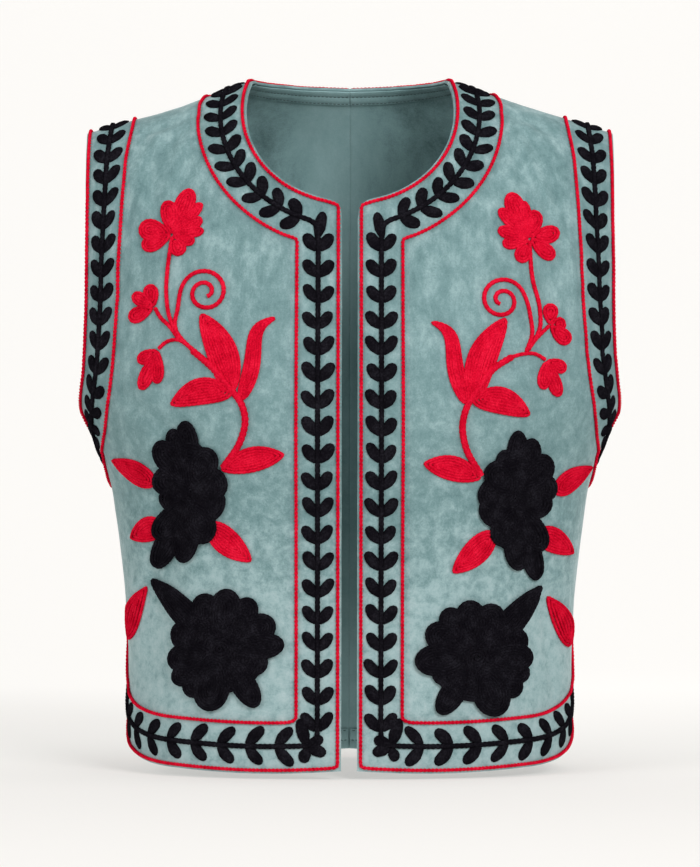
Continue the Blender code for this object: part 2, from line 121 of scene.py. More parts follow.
# front or back, side (0 both), start across and height, end, reach, rise
FOLDS = [
    ("front", 0, 92, 252, 92, 246, 58, 7.0),       # fullness of the bust
    ("front", -1, 118, 226, 141, 70, 15, -3.0),    # dart, left
    ("front", -1, 134, 222, 156, 74, 14, 2.0),     # ridge beside it
    ("front", 1, 121, 200, 146, 46, 15, -3.0),     # dart, right
    ("front", 1, 138, 200, 160, 60, 14, 2.0),
    ("front", -1, 119, 236, 138, 132, 2.6, -1.5),  # the darts' own sharp lines
    ("front", 1, 122, 205, 147, 50, 2.6, -1.4),
    ("front", 0, 106, 463, 145, 449, 3.0, -1.3),   # tuck beside the shoulder seam
    ("front", 0, 106, 469, 140, 458, 4.5, 0.8),
    ("front", -1, 113, 460, 137, 444, 4.5, 1.1),   # ridges down from the left shoulder
    ("front", -1, 137, 444, 148, 426, 4.5, 0.8),
    ("front", -1, 109, 449, 120, 436, 4.0, 1.0),
    ("front", -1, 120, 436, 130, 396, 4.5, 1.0),
    ("front", -1, 141, 432, 140, 398, 5.0, -0.9),
    ("front", -1, 112, 428, 122, 386, 5.0, -0.9),
    ("front", -1, 164, 404, 168, 340, 4.5, 1.1),   # ridge beside the left armhole
    ("front", -1, 157, 400, 160, 330, 5.0, -0.8),
    ("front", 1, 108, 464, 127, 451, 4.0, 1.0),    # ridges down from the right shoulder
    ("front", 1, 127, 451, 144, 434, 4.0, 0.9),
    ("front", 1, 111, 453, 122, 436, 4.5, 1.1),
    ("front", 1, 122, 436, 137, 400, 4.5, 1.2),
    ("front", 1, 137, 400, 152, 364, 4.5, 1.2),
    ("front", 1, 152, 364, 159, 340, 5.0, 0.9),
    ("front", 1, 113, 440, 129, 400, 5.0, -1.2),
    ("front", 1, 129, 400, 146, 356, 5.0, -1.1),
    ("front", 1, 169, 380, 174, 300, 5.0, 1.1),    # ridge beside the right armhole
    ("front", 1, 176, 385, 181, 290, 5.0, -0.9),
    ("front", 1, 163, 350, 168, 292, 5.5, -0.9),
    ("front", -1, 158, 330, 172, 240, 14, -1.4),   # drag line under the left arm
    ("front", -1, 146, 300, 120, 258, 7.0, -0.9),
    ("front", -1, 160, 262, 128, 240, 6.0, -0.8),
    ("front", 1, 150, 270, 126, 250, 7.0, -0.8),
    ("front", -1, 60, 190, 66, 60, 12.0, -0.9),    # slack down the front
    ("front", 1, 50, 200, 54, 70, 12.0, -0.9),
    ("front", -1, 143, 142, 151, 126, 4.0, 1.1),   # small folds low at the sides
    ("front", -1, 151, 126, 155, 112, 3.5, 0.9),
    ("front", -1, 146, 118, 150, 84, 5.0, 1.0),
    ("front", -1, 150, 84, 152, 62, 5.0, 0.9),
    ("front", 1, 141, 136, 150, 118, 4.5, 0.9),
    ("front", 1, 146, 108, 150, 66, 5.0, 0.9),
    ("back", -1, 82, 230, 88, 60, 15, -2.6),       # fish-eye darts of the back
    ("back", 1, 82, 230, 88, 60, 15, -2.4),
    ("back", -1, 84, 225, 87, 90, 2.6, -1.2),
    ("back", 1, 84, 225, 87, 90, 2.6, -1.2),
    ("back", -1, 118, 452, 152, 330, 8.0, -1.1),
    ("back", 1, 112, 448, 140, 340, 9.0, -1.0),
    ("back", -1, 40, 330, 120, 300, 10.0, -0.9),   # drag lines between the arms
    ("back", 1, 60, 300, 140, 286, 9.0, -0.9),
    ("back", -1, 150, 240, 110, 205, 8.0, -0.9),
    ("back", 1, 152, 236, 116, 210, 8.0, -0.9),
]


LEVELS, *REACHES = np.array(SECTIONS).T
SLOPES = [np.gradient(reach, LEVELS) for reach in REACHES]


def eased(column, height):
    """One column of SECTIONS at any height, eased through the rows."""
    level, value, rise = LEVELS, REACHES[column - 1], SLOPES[column - 1]
    height = np.clip(height, level[0], level[-1])
    k = np.clip(np.searchsorted(level, height) - 1, 0, len(level) - 2)
    span = level[k + 1] - level[k]
    t = (height - level[k]) / span
    ends = (2 * t**3 - 3 * t**2 + 1) * value[k] + (3 * t**2 - 2 * t**3) * value[k + 1]
    return ends + span * ((t**3 - 2 * t**2 + t) * rise[k] + (t**3 - t**2) * rise[k + 1])


def shoulder_line(across):
    """Height of the shoulder seam, carried on under the neck with a rounded crown."""
    fall = np.hypot(across, CROWN) - math.hypot(NECK_X, CROWN)
    return NECK_HEIGHT - SHOULDER_FALL * fall


def roll_squared(across, height, behind):
    """1 on the body, falling to 0 where front and back meet on the shoulder line."""
    reach = np.where(behind, ROLL_BACK, ROLL_FRONT)
    return 1 - np.clip(1 - (shoulder_line(across) - height) / reach, 0, None) ** 2


def depth(across, height, behind):
    """Reach of the cloth in front of or behind the side line."""
    width = eased(1, height)
    reach = np.where(behind, eased(3, height), eased(2, height))
    inside = 1 - np.clip(across / width, 0, 1) ** SQUARE
    roll = np.sqrt(np.clip(roll_squared(across, height, behind), 0, None))
    return reach * inside ** (1 / SQUARE) * roll


def form(points):
    """Zero on the body's outer surface, positive outside it."""
    across, y, height = np.abs(points[..., 0]), points[..., 1], points[..., 2]
    behind = y > 0
    reach = np.where(behind, eased(3, height), eased(2, height))
    inside = 1 - (across / eased(1, height)) ** SQUARE
    inside = np.sign(inside) * np.abs(inside) ** (2 / SQUARE)
    return (y / reach) ** 2 - inside * roll_squared(across, height, behind)


def uphill(points):
    """Gradient of the form."""
    step = 0.05
    slope = np.empty_like(points)
    for axis in range(3):
        offset = np.zeros(3)
        offset[axis] = step
        slope[..., axis] = (form(points + offset) - form(points - offset)) / (2 * step)
    return slope


def settle(points):
    """Drop points on to the body's surface, and give the surface's normals there."""
    points = np.array(points, float)
    for _ in range(7):
        slope = uphill(points)
        steep = np.maximum((slope**2).sum(-1, keepdims=True), 1e-12)
        move = form(points)[..., None] * slope / steep
        far = np.linalg.norm(move, axis=-1, keepdims=True)
        points = points - move * np.minimum(1, 12 / np.maximum(far, 1e-9))
    slope = uphill(points)
    return points, slope / np.linalg.norm(slope, axis=-1, keepdims=True)


def fold_rise(points, side):
    """How far the folds lift or sink the cloth of one side."""
    rise = np.zeros(points.shape[:-1])
    for face, which, x0, h0, x1, h1, reach, height in FOLDS:
        if which not in (0, side):
            continue
        facing = -1 if face == "front" else 1
        shown = np.clip(facing * points[..., 1] / 25, 0, 1)
        start, run = np.array([x0, h0]), np.array([x1 - x0, h1 - h0])
        to = points[..., [0, 2]] - start
        along = np.clip((to @ run) / (run @ run), 0, 1)
        off = np.linalg.norm(to - along[..., None] * run, axis=-1)
        rise += height * np.exp(-((off / reach) ** 2)) * shown
    return rise


CRUSH_HEIGHT = 0.32     # the crushed pile's ripples
CRUSH_WIDE = 13.0       # their size across
CRUSH_TALL = 34.0       # and down the cloth


def crush_rise(points, side):
    """Small uneven ripples, longer down the cloth than across it."""
    flat = points.reshape(-1, 3)
    rise = np.empty(len(flat))
    for k, (x, y, z) in enumerate(flat):
        spot = Vector((side * x / CRUSH_WIDE, y / CRUSH_WIDE, z / CRUSH_TALL))
        rise[k] = noise.noise(spot) + 0.5 * noise.noise(2.3 * spot)
    return CRUSH_HEIGHT * rise.reshape(points.shape[:-1])


SAG = {-1: 2.4, 1: 0.6}  # the middle of each shoulder hangs this much lower
SAG_ACROSS = 128.0
SAG_WIDE = 34.0
SAG_REACH = 45.0


def sagged(points, side):
    """How far the middle of the shoulder hangs down."""
    off = (np.abs(points[..., 0]) - SAG_ACROSS) / SAG_WIDE
    below = np.clip(1 - (shoulder_line(np.abs(points[..., 0])) - points[..., 2]) / SAG_REACH, 0, 1)
    return SAG[side] * np.exp(-(off**2)) * below


def on_cloth(points, side, lift):
    """World places of points given on the +X half, lifted off the cloth's face."""
    points, normals = settle(points)
    rise = fold_rise(points, side) + crush_rise(points, side)
    points = points + normals * (rise + lift)[..., None]
    across = np.clip(np.abs(points[..., 0]) / 160, 0, 1)
    lean = LEAN * np.clip(1 - points[..., 2] / LEAN_TOP, 0, 1) * (1 - across**2)
    x = side * points[..., 0] + lean
    z = points[..., 2] - sagged(points, side) - ORIGIN_HEIGHT
    return np.stack([x, points[..., 1], z], -1) * MM


def spaced(line, count):
    """The same line with its points evenly apart."""
    run = np.r_[0, np.cumsum(np.linalg.norm(np.diff(line, axis=0), axis=1))]
    at = np.linspace(0, run[-1], count)
    return np.stack([np.interp(at, run, line[:, axis]) for axis in range(line.shape[1])], -1)


def neck_front(count):
    """Front neck edge, from the front edge up to the shoulder line."""
    turn = np.linspace(math.asin((FRONT_EDGE / NECK_HALF_WIDTH) ** (NECK_ROUND / 2)), 2.2, 400)
    across = NECK_HALF_WIDTH * np.sin(turn) ** (2 / NECK_ROUND)
    drop = np.sign(np.cos(turn)) * np.abs(np.cos(turn)) ** (2 / NECK_ROUND)
    height = NECK_DROP_CENTRE - NECK_DROP * drop
    keep = height < shoulder_line(across) - 0.02
    across, height = across[keep], height[keep]
    edge = np.stack([across, -depth(across, height, False), height], -1)
    edge = np.vstack([edge, [NECK_X, 0, NECK_HEIGHT]])
    return spaced(edge, count)


def neck_back(count):
    """Back neck edge, from the centre seam to the shoulder line."""
    across = np.linspace(0, NECK_X, 200)
    height = BACK_NECK_HEIGHT + (NECK_HEIGHT - BACK_NECK_HEIGHT) * (across / NECK_X) ** 2
    return spaced(np.stack([across, depth(across, height, True), height], -1), count)


def armhole(count, behind):
    """One half of the armhole edge, from underarm to the shoulder."""
    turn = np.linspace(math.pi, 0, 400)
    tip = shoulder_line(SHOULDER_X)
    height = (tip + UNDERARM_HEIGHT) / 2 + (tip - UNDERARM_HEIGHT) / 2 * np.cos(turn)
    flare = SCYE_FLARE * np.exp(-(((height - FLARE_HEIGHT) / FLARE_SPREAD) ** 2))
    flare -= SCYE_DRAW * np.sin(math.pi * (tip - height) / (tip - UNDERARM_HEIGHT))
    across = np.minimum(eased(1, height) * 0.995, SHOULDER_X + flare)
    y = depth(across, height, behind) * (1 if behind else -1)
    if behind:
        y = np.maximum(y, UNDERARM_Y)
    under = np.clip((height - UNDERARM_HEIGHT) / UNDERARM_ROUND, 0, 1)
    y = UNDERARM_Y + (y - UNDERARM_Y) * np.sin(math.pi / 2 * np.sqrt(under))
    edge, _ = settle(np.stack([across, y, height], -1))
    edge[-1] = SHOULDER_X, 0, tip
    return spaced(edge, count)


def side_seam(count):
    """Side seam, from the hem up to the underarm."""
    height = np.linspace(0, UNDERARM_HEIGHT, count)
    y = HEM_SEAM_Y + (UNDERARM_Y - HEM_SEAM_Y) * height / UNDERARM_HEIGHT
    part = 1 - (y / eased(3, height)) ** SQUARE
    return np.stack([eased(1, height) * part ** (1 / SQUARE), y, height], -1)


def centre_edge(count, across, top, behind):
    height = np.linspace(0, top, count)
    x = np.full(count, across)
    sign = 1 if behind else -1
    return np.stack([x, sign * depth(x, height, behind), height], -1)


def piece_grid(behind, columns, centre_rows, neck_rows, seam_rows, scye_rows):
    """Rows of points over one front or back, from hem to shoulder, centre to side."""
    if behind:
        neck = neck_back(neck_rows + 1)
        neck[:, 0] = np.maximum(neck[:, 0], SEAM_GAP / 2)
        centre = centre_edge(centre_rows + 1, SEAM_GAP / 2, BACK_NECK_HEIGHT, True)
    else:
        neck = neck_front(neck_rows + 1)
        centre = centre_edge(centre_rows + 1, FRONT_EDGE, neck[0, 2], False)
    inner = np.vstack([centre, neck[1:]])
    if not behind:
        corner = slice(centre_rows - 3, centre_rows + 4)
        for _ in range(6):
            before = inner[centre_rows - 4:centre_rows + 3]
            after = inner[centre_rows - 2:centre_rows + 5]
            inner[corner] = (before + after) / 2
    scye = armhole(scye_rows + 1, behind)
    outer = np.vstack([side_seam(seam_rows + 1), scye[1:]])
    grid = np.array([row_points(a, b, behind, columns) for a, b in zip(inner, outer)])
    grid[-1, :, 1] = SEAM_GAP / 2 * (1 if behind else -1)
    return grid


def row_points(start, end, behind, columns):
    """A row on the body in the upright plane through both ends."""
    fall = (start[2] - end[2]) / (end[0] - start[0])
    turn_start = math.asin(min(1, start[0] / eased(1, start[2])))
    turn_end = math.asin(min(1, end[0] / eased(1, end[2])))
    if end[1] > 0 and not behind:
        turn_end = math.pi - turn_end
    if end[1] < 0 and behind:
        turn_end = math.pi - turn_end
    turn = np.linspace(turn_start, turn_end, 160)
    row = turned(turn, start[2] + fall * start[0], fall, behind)
    run = np.r_[0, np.cumsum(np.linalg.norm(np.diff(row, axis=0), axis=1))]
    at = np.linspace(0, run[-1] - SEAM_GAP / 2, columns + 1)
    left = run[-1] - at
    turn = np.interp(at, run, turn)
    height = np.interp(at, run, row[:, 2])
    sweep = np.clip(1 - left / VENT_SWEEP, 0, 1)
    raised = VENT_HEIGHT * (1 - np.sqrt(1 - sweep**2))
    across = eased(1, height) * np.sin(turn)
    raised = raised - HEM_DIP * np.sin(math.pi * across / DIP_WIDE)
    height = height + raised * np.clip(1 - height / VENT_REACH, 0, 1)
    return turned(turn, height, None, behind)


def turned(turn, level, fall, behind):
    """Points round the body at the given turns, on a level or on a falling plane."""
    height = level * np.ones_like(turn)
    for _ in range(8 if fall is not None else 1):
        across = eased(1, height) * np.sin(turn)
        if fall is not None:
            height = level - fall * across
    past = turn > math.pi / 2
    at_back = ~past if behind else past
    y = depth(across, height, at_back)
    return np.stack([across, np.where(at_back, y, -y), height], -1)


def group_tree(name, inputs, outputs):
    """An empty node group with number inputs, and outputs given as name and kind."""
    group = bpy.data.node_groups.new(name, "ShaderNodeTree")
    for socket_name, value in inputs:
        socket = group.interface.new_socket(socket_name, in_out="INPUT", socket_type="NodeSocketFloat")
        socket.default_value = value
    for socket_name, kind in outputs:
        group.interface.new_socket(socket_name, in_out="OUTPUT", socket_type=kind)
    entry = group.nodes.new("NodeGroupInput")
    leave = group.nodes.new("NodeGroupOutput")
    return group, entry, leave


def node(tree, kind, **settings):
    made = tree.nodes.new(kind)
    for key, value in settings.items():
        setattr(made, key, value)
    return made


def sum_of(tree, operation, first, second, third=None):
    """A Math node on sockets or numbers."""
    made = node(tree, "ShaderNodeMath", operation=operation)
    for slot, value in zip(made.inputs, (first, second, third)):
        if value is None:
            continue
        if isinstance(value, (int, float)):
            slot.default_value = value
        else:
            tree.links.new(value, slot)
    return made.outputs[0]


LOW_PAINTED_LIGHT = 0.215         # painted light: the pile is painted paler towards the hem


def crushed_pile():
    """Shade and height of a crushed pile: streaks high up, blotches lower down, and painted light that makes it
    paler towards the hem.
    """
    tree, entry, leave = group_tree(
        "crushed_pile",
        [("Streak Size", 95.0), ("Blotch Size", 120.0), ("Grain Size", 850.0)],
        [("Shade", "NodeSocketFloat"), ("Height", "NodeSocketFloat")],
    )
    place = node(tree, "ShaderNodeTexCoord").outputs["Object"]
    drawn_out = node(tree, "ShaderNodeMapping")
    drawn_out.inputs["Scale"].default_value = 1, 1, 0.45
    tree.links.new(place, drawn_out.inputs["Vector"])
    noises = {}
    for word, source, detail, distortion in (
        ("Streak Size", drawn_out.outputs[0], 7.0, 0.15),
        ("Blotch Size", place, 8.0, 0.2),
        ("Grain Size", place, 4.0, 0.0),
    ):
        made = node(tree, "ShaderNodeTexNoise")
        made.inputs["Detail"].default_value = detail
        made.inputs["Roughness"].default_value = 0.68
        made.inputs["Distortion"].default_value = distortion
        tree.links.new(source, made.inputs["Vector"])
        tree.links.new(entry.outputs[word], made.inputs["Scale"])
        noises[word] = made.outputs["Fac"]
    split = node(tree, "ShaderNodeSeparateXYZ")
    tree.links.new(place, split.inputs[0])
    high = node(tree, "ShaderNodeMapRange", clamp=True)
    high.inputs["From Min"].default_value = -0.30
    high.inputs["From Max"].default_value = -0.10
    tree.links.new(split.outputs["Z"], high.inputs["Value"])
    low = sum_of(tree, "SUBTRACT", 1.0, high.outputs[0])
    streaks = sum_of(tree, "MULTIPLY", noises["Streak Size"], high.outputs[0])
    blotches = sum_of(tree, "MULTIPLY_ADD", noises["Blotch Size"], low, streaks)
    shade = sum_of(tree, "MULTIPLY_ADD", noises["Grain Size"], 0.34, blotches)
    shade = sum_of(tree, "SUBTRACT", shade, 0.17)
    # painted light: the lower front is painted paler, as if it caught more light
    pale = node(tree, "ShaderNodeMapRange", clamp=True)
    pale.inputs["From Min"].default_value = -0.29
    pale.inputs["From Max"].default_value = -0.37
    tree.links.new(split.outputs["Z"], pale.inputs["Value"])
    shade = sum_of(tree, "MULTIPLY_ADD", pale.outputs[0], LOW_PAINTED_LIGHT, shade)
    height = sum_of(tree, "MULTIPLY_ADD", noises["Grain Size"], 0.35, blotches)
    tree.links.new(shade, leave.inputs["Shade"])
    tree.links.new(height, leave.inputs["Height"])
    return tree


PILE = crushed_pile()


def finish_of(name, roughness, sheen=0.0, sheen_roughness=0.4, sheen_tint=(1, 1, 1), specular=0.3):
    """A new material and its Principled shader, with the plain values set on it."""
    made = bpy.data.materials.new(name)
    made.use_nodes = True
    shader = made.node_tree.nodes["Principled BSDF"]
    shader.inputs["Roughness"].default_value = roughness
    shader.inputs["Specular IOR Level"].default_value = specular
    shader.inputs["Sheen Weight"].default_value = sheen
    shader.inputs["Sheen Roughness"].default_value = sheen_roughness
    shader.inputs["Sheen Tint"].default_value = (*sheen_tint, 1)
    return made, made.node_tree, shader


def ramp(tree, source, stops, socket):
    """Colours along a mask, led to a colour input."""
    made = node(tree, "ShaderNodeValToRGB")
    while len(made.color_ramp.elements) < len(stops):
        made.color_ramp.elements.new(0.5)
    for element, (spot, colour) in zip(made.color_ramp.elements, stops):
        element.position = spot
        element.color = (*colour, 1)
    tree.links.new(source, made.inputs["Fac"])
    tree.links.new(made.outputs["Color"], socket)


def bump(tree, height, distance, strength, shader):
    made = node(tree, "ShaderNodeBump")
    made.inputs["Distance"].default_value = distance
    made.inputs["Strength"].default_value = strength
    tree.links.new(height, made.inputs["Height"])
    tree.links.new(made.outputs["Normal"], shader.inputs["Normal"])


VELVET_SHADES = [
    (0.32, (0.108, 0.196, 0.203)),
    (0.50, (0.166, 0.274, 0.281)),
    (0.70, (0.285, 0.408, 0.417)),
    (0.95, (0.385, 0.500, 0.508)),
]
# the darkest stop is reached only where the painted shade of the inside darkens it
SUEDE_SHADES = [(0.0, (0.085, 0.150, 0.155)), (0.32, (0.215, 0.350, 0.358)), (0.66, (0.300, 0.455, 0.465))]

velvet, tree, shader = finish_of(
    "velvet", 0.85, sheen=0.65, sheen_roughness=0.30, sheen_tint=(0.80, 0.92, 0.92), specular=0.2
)
pile = node(tree, "ShaderNodeGroup", node_tree=PILE)
pile.inputs["Streak Size"].default_value = 95.0
pile.inputs["Blotch Size"].default_value = 120.0
pile.inputs["Grain Size"].default_value = 850.0
ramp(tree, pile.outputs["Shade"], VELVET_SHADES, shader.inputs["Base Color"])
bump(tree, pile.outputs["Height"], 0.0006, 0.6, shader)

suede, tree, shader = finish_of("velvet_wrong_side", 0.95, sheen=0.1, specular=0.1)
pile = node(tree, "ShaderNodeGroup", node_tree=PILE)
pile.inputs["Streak Size"].default_value = 30.0
pile.inputs["Blotch Size"].default_value = 36.0
pile.inputs["Grain Size"].default_value = 900.0
# painted shade: the inside is painted darker away from a line near the centre back, and lower down;
# a place, where that starts and is full in metres, and how much darker
PAINTED_SHADE_CENTRE_X = -0.010
place = node(tree, "ShaderNodeSeparateXYZ")
tree.links.new(node(tree, "ShaderNodeTexCoord").outputs["Object"], place.inputs[0])
shade = pile.outputs["Shade"]
for value, near, far, darker in (
    (sum_of(tree, "ABSOLUTE", sum_of(tree, "ADD", place.outputs["X"], -PAINTED_SHADE_CENTRE_X), 0.0), 0.012, 0.060, 0.36),
    (place.outputs["Z"], -0.08, -0.20, 0.14),
):
    spread = node(tree, "ShaderNodeMapRange")
    for socket, amount in (("From Min", near), ("From Max", far), ("To Min", 0.0), ("To Max", darker)):
        spread.inputs[socket].default_value = amount
    tree.links.new(value, spread.inputs["Value"])
    shade = sum_of(tree, "SUBTRACT", shade, spread.outputs[0])
ramp(tree, shade, SUEDE_SHADES, shader.inputs["Base Color"])
bump(tree, pile.outputs["Height"], 0.0003, 0.4, shader)


def placed(name, made):
    """Link a new object and let it ride with the garment."""
    bpy.context.scene.collection.objects.link(made)
    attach(made, "root")
    return made


def cloth_sheet(name, places, flip, materials, wall, rounding):
    """A thin closed sheet over a grid of places; its wall lies behind the places."""
    rows, columns = places.shape[:2]
    bm = bmesh.new()
    bmesh.ops.create_grid(bm, x_segments=columns - 1, y_segments=rows - 1, size=1)
    for vert in bm.verts:
        column = round((vert.co.x + 1) / 2 * (columns - 1))
        row = round((vert.co.y + 1) / 2 * (rows - 1))
        vert.co = places[row, column]
    if flip:
        bmesh.ops.reverse_faces(bm, faces=bm.faces)
    mesh = bpy.data.meshes.new(name)
    bm.to_mesh(mesh)
    bm.free()
    mesh.shade_smooth()
    made = bpy.data.objects.new(name, mesh)
    for finish in materials:
        mesh.materials.append(finish)
    solid = made.modifiers.new("Wall", "SOLIDIFY")
    solid.thickness = wall * MM
    solid.offset = -1
    solid.use_even_offset = True
    solid.material_offset = len(materials) - 1
    edge = made.modifiers.new("Turned edge", "BEVEL")
    edge.width = rounding * MM
    edge.segments = 2
    edge.limit_method = "ANGLE"
    edge.angle_limit = math.radians(50)
    return placed(name, made)


SIDES = {"left": -1, "right": 1}
FINE_ROWS = dict(columns=80, centre_rows=126, neck_rows=54, seam_rows=81, scye_rows=99)

for behind, word in ((False, "front"), (True, "back")):
    grid = piece_grid(behind, **FINE_ROWS)
    for side_word, side in SIDES.items():
        places = on_cloth(grid, side, 0)
        flip = behind != (side < 0)
        piece = cloth_sheet(
            f"{word}_{side_word}_cloth", places, flip, [velvet, suede], WALL, EDGE_ROUND
        )
        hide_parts(f"{word}_{side_word}")

# ---------------------------------------------------------------- turnings inside the back
# The neck and the hem of the back are faced with a narrow turned strip of the same cloth,
# held by two rows of machine stitches; between the rows the cloth puffs a little.

TURNING = 15.0
TURNING_WALL = 0.8
TURNING_STAND = 0.35    # air behind the strip
PUFF = 0.7
STITCH_ROWS = (6.5, 13.6)
STITCH_LONG = 2.3
STITCH_EVERY = 3.1
THREAD = 0.28


def hem_line(behind, count):
    """Hem of a half front or back, from the centre to the vent."""
    across = 0.1 if behind else FRONT_EDGE
    centre = centre_edge(2, across, UNDERARM_HEIGHT, behind)[0]
    return row_points(centre, side_seam(2)[0], behind, count - 1)


def walk_in(edge, distance):
    """A line on the cloth a distance in from an edge that runs with the cloth on its left."""
    line, normal = settle(edge)
    distance = np.broadcast_to(distance, len(line))[:, None]
    steps = max(1, round(distance.max() / 4))
    inward = np.cross(normal, np.gradient(line, axis=0))
    for _ in range(steps):
        inward -= (inward * normal).sum(-1, keepdims=True) * normal
        inward /= np.linalg.norm(inward, axis=-1, keepdims=True)
        line, normal = settle(line + inward * distance / steps)
    return line


def wool_curve(name, runs, radius, finish, sides=6):
    """Tubes along several runs of places, each with its own thickness along it."""
    curve = bpy.data.curves.new(name, "CURVE")
    curve.dimensions = "3D"
    curve.bevel_depth = radius * MM
    curve.bevel_resolution = (sides - 4) // 2
    curve.use_fill_caps = True
    for places, thick, closed in runs:
        spline = curve.splines.new("POLY")
        spline.points.add(len(places) - 1)
        spline.points.foreach_set("co", np.c_[places, np.ones(len(places))].ravel())
        spline.points.foreach_set("radius", np.broadcast_to(thick, len(places)).astype(float))
        spline.use_cyclic_u = closed
        spline.use_smooth = True
    curve.materials.append(finish)
    return placed(name, bpy.data.objects.new(name, curve))


def turning(name, edge, side, node_name):
    inward = np.linspace(0.8, TURNING, 22)
    rows = np.array([walk_in(edge, distance) for distance in inward])
    marks = np.r_[0, STITCH_ROWS, TURNING]
    nearest = np.abs(inward[:, None] - marks[None]).min(1)
    puff = PUFF * (1 - np.exp(-nearest / 1.6))
    lift = -(WALL + TURNING_STAND + puff)[:, None] * np.ones(rows.shape[:2])
    places = on_cloth(rows, side, lift)
    strip = cloth_sheet(name, places, side < 0, [suede], TURNING_WALL, 0.3)
    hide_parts(node_name)
    stitches = []
    sink = np.array([-0.15, 0.2, 0.2, -0.15])
    for distance in STITCH_ROWS:
        line = walk_in(edge, distance)
        length = np.linalg.norm(np.diff(line, axis=0), axis=1).sum()
        starts = np.arange(1.0, length - STITCH_LONG, STITCH_EVERY)
        parts = starts[:, None] + np.linspace(0, STITCH_LONG, 4)
        dashes = on_cloth(line_at(line, parts / length), side, -(WALL + TURNING_STAND + TURNING_WALL + sink))
        stitches += [(dash, 1, False) for dash in dashes]
    thread = wool_curve(f"{name}_stitches", stitches, THREAD, dark_thread, sides=4)


def line_at(line, share):
    """Points of a line at shares of its length."""
    run = np.r_[0, np.cumsum(np.linalg.norm(np.diff(line, axis=0), axis=1))]
    return np.stack([np.interp(share * run[-1], run, line[:, axis]) for axis in range(3)], -1)


dark_thread, tree, shader = finish_of("sewing_thread", 0.8)
shader.inputs["Base Color"].default_value = 0.045, 0.075, 0.078, 1

inside_neck = neck_back(60)
inside_neck[0, 0] = 0.1
inside_hem = hem_line(True, 80)[-2::-1]
inside_hem[-1, 0] = 0.1
for side_word, side in SIDES.items():
    turning(f"neck_turning_{side_word}_cloth", inside_neck, side, f"neck_turning_{side_word}")
    turning(f"hem_turning_{side_word}_cloth", inside_hem, side, f"hem_turning_{side_word}")

# ---------------------------------------------------------------- couched cords
# Red wool cord, two strands twisted, sewn down along every edge and again 30 mm further
# in, so that the two rows frame the black vine. At the side vents the inner row arches
# over the slit.

# from the cloth's edge: at the neck, down the front edge, along the hem, round the armhole
CORD_ROWS = {"outer": (2.5, 2.5, 2.5, 2.5), "inner": (34.8, 31.3, 35.5, SCYE_BAND)}
STRAND = 0.80          # each of the two strands
TWIST_OUT = 0.62       # strands stand this far off the cord's middle
TWIST_PITCH = 5.6
CORD_LIFT = 1.0
CORD_STEP = 0.95
CORNER_ROUND = 5.0
UNDERARM_SOFT = 22.0    # the inner rows round off this much under the arm


def vent_arch(distance, behind):
    """Quarter turn of a cord over the top of the side vent, up to the side seam."""
    turn = np.linspace(0.06, 0.5, 9) * math.pi
    height = VENT_HEIGHT + distance * np.sin(turn)
    seam = side_seam(400)
    seam = np.stack([np.interp(height, seam[:, 2], seam[:, axis]) for axis in range(3)], -1)
    aside = distance * np.cos(turn) + 0.6
    if not behind:
        return walk_in(seam, aside)
    return walk_in(seam[::-1], aside[::-1])


def over_vent(line, distance, behind):
    """A hem line, led over the top of the vent where it keeps clear of the slit."""
    if distance < VENT_HEIGHT / 3:
        return line
    near = np.abs(line[:, 2] - VENT_HEIGHT) < VENT_HEIGHT / 5
    line = line[~near | (line[:, 0] < SHOULDER_X / 2)]
    arch = vent_arch(distance, behind)
    return np.vstack([arch, line] if behind else [line, arch])


def front_runs(neck_in, edge_in, hem_in):
    """The neck, front edge and hem parts of a line round one half, with their corners."""
    back = neck_back(24)
    back[0, 0] = 0.6
    neck = walk_in(np.vstack([back, neck_front(32)[-2::-1]]), neck_in)
    edge = walk_in(centre_edge(60, FRONT_EDGE, neck_front(2)[0, 2], False)[::-1], edge_in)
    hem = walk_in(hem_line(False, 48), hem_in)
    corner_x = edge[len(edge) // 2, 0]
    neck = neck[(neck[:, 0] > corner_x + 4) | (neck[:, 1] > -40)]
    top = neck[-1, 2] - (neck[-1, 0] - corner_x) / 3
    edge = edge[(edge[:, 2] < top - 4) & (edge[:, 2] > hem_in + 4)]
    hem = hem[hem[:, 0] > corner_x + 4]
    upper, lower = [(corner_x, -float(depth(corner_x, h, False)), h) for h in (top, hem_in)]
    return neck, np.array([upper]), edge, np.array([lower]), over_vent(hem, hem_in, False)


def back_border(distance):
    """Vent and hem of one half of the back, ending at the centre seam."""
    hem = walk_in(hem_line(True, 48)[::-1], distance)
    hem[-1, 0] = 0.6
    return over_vent(hem, distance, True)


def armhole_border(distance):
    loop = np.vstack([armhole(60, False), armhole(60, True)[-2:0:-1]])
    around = np.vstack([loop[-1:], loop, loop[:1]])
    swing = np.interp(around[:, 2], SWING_HEIGHTS, SWINGS) * (distance / SCYE_BAND)
    line = walk_in(around, distance + swing)[1:-1]
    if distance < CORNER_ROUND:
        return line
    return softened(line, UNDERARM_SOFT, closed=True)


def softened(line, reach, closed=False):
    """The same line a millimetre at a time, with its corners rounded."""
    if closed:
        line = np.vstack([line, line[:1]])
    length = np.linalg.norm(np.diff(line, axis=0), axis=1).sum()
    line = spaced(line, round(length) + 1)
    half = max(1, round(reach / 2))
    if closed:
        padded = np.vstack([line[-half - 1:-1], line, line[1:half + 1]])
    else:
        ahead = 2 * line[0] - line[half:0:-1]
        beyond = 2 * line[-1] - line[-2:-half - 2:-1]
        padded = np.vstack([ahead, line, beyond])
    kernel = np.ones(2 * half + 1) / (2 * half + 1)
    line = np.stack([np.convolve(padded[:, axis], kernel, "valid") for axis in range(3)], -1)
    return line[:-1] if closed else line


